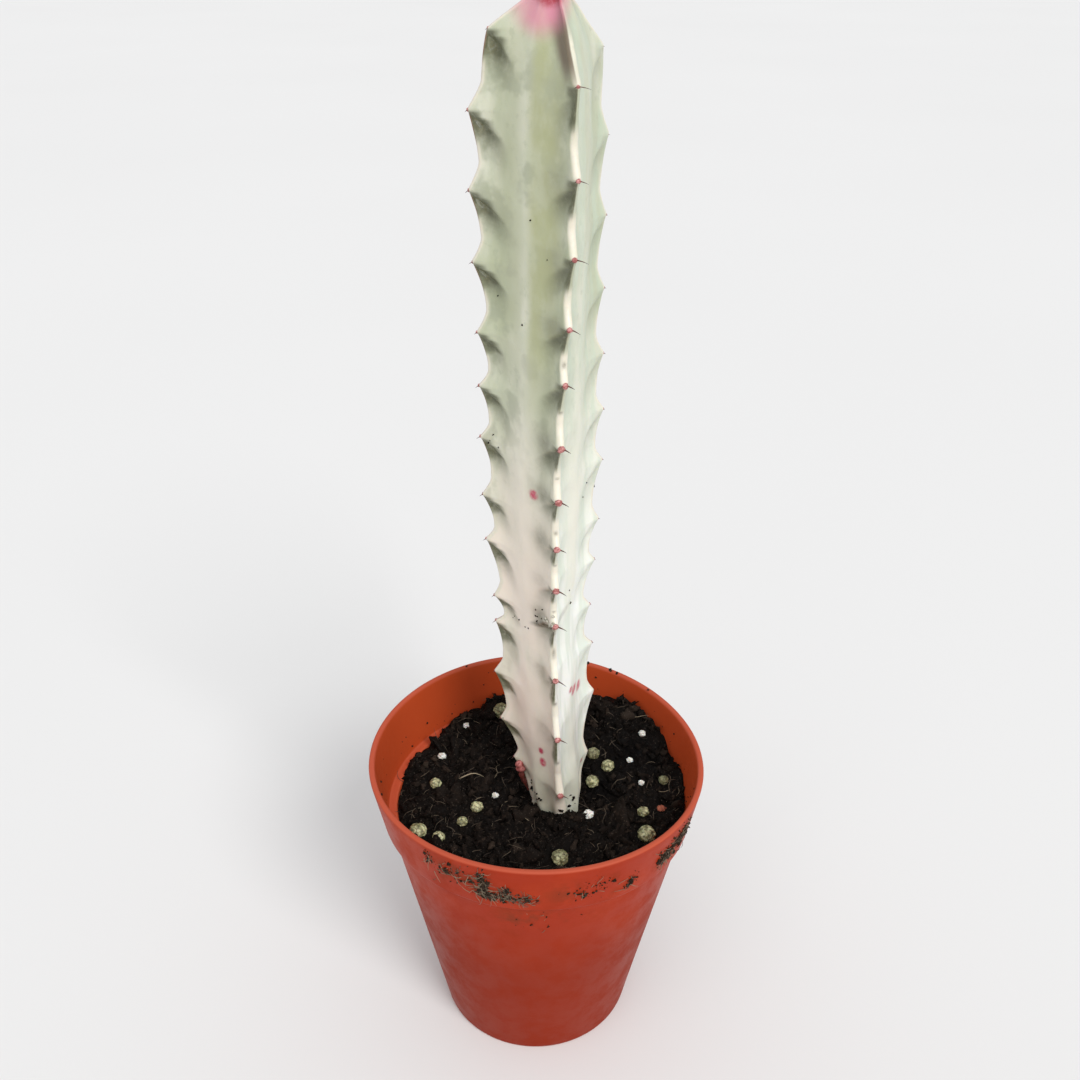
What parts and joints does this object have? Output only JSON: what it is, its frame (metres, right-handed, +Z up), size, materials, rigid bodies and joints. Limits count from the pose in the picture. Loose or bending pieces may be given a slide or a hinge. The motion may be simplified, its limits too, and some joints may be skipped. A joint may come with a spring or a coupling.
{
  "type": "potted euphorbia",
  "caption": "Pale three-ribbed euphorbia cutting with toothed ribs, planted in dark potting soil in a small round tapered nursery pot with a collar rim.",
  "frame": {"origin": "centre of the pot's base, on the surface that it stands on", "axes": "+Z up along the stem, -Y towards the plant's front, +X to the right seen from the front"},
  "size_m": [0.055, 0.055, 0.1685],
  "materials": {
    "pot": "terracotta-coloured injection-moulded plastic, satin, with soil smudges",
    "soil": "dark fibrous peat potting mix, damp and matte",
    "stem": "waxy greyish-white succulent skin with grey-green shading and pink marks",
    "prill": "mottled greenish-yellow coated fertiliser prill",
    "perlite": "white expanded perlite, matte and pitted",
    "bark": "reddish-brown bark chip, rough"
  },
  "bodies": {
    "root": {"pot": "pot", "soil": "soil", "stem": "stem", "bark_01": "bark", "prill_01": "prill", "prill_02": "prill", "prill_03": "prill", "prill_04": "prill", "prill_05": "prill", "prill_06": "prill", "prill_07": "prill", "prill_08": "prill", "prill_09": "prill", "prill_10": "prill", "prill_11": "prill", "prill_12": "prill", "prill_13": "prill", "perlite_01": "perlite", "perlite_02": "perlite", "perlite_03": "perlite", "perlite_04": "perlite", "perlite_05": "perlite", "perlite_06": "perlite", "perlite_07": "perlite"}
  },
  "joints": []
}
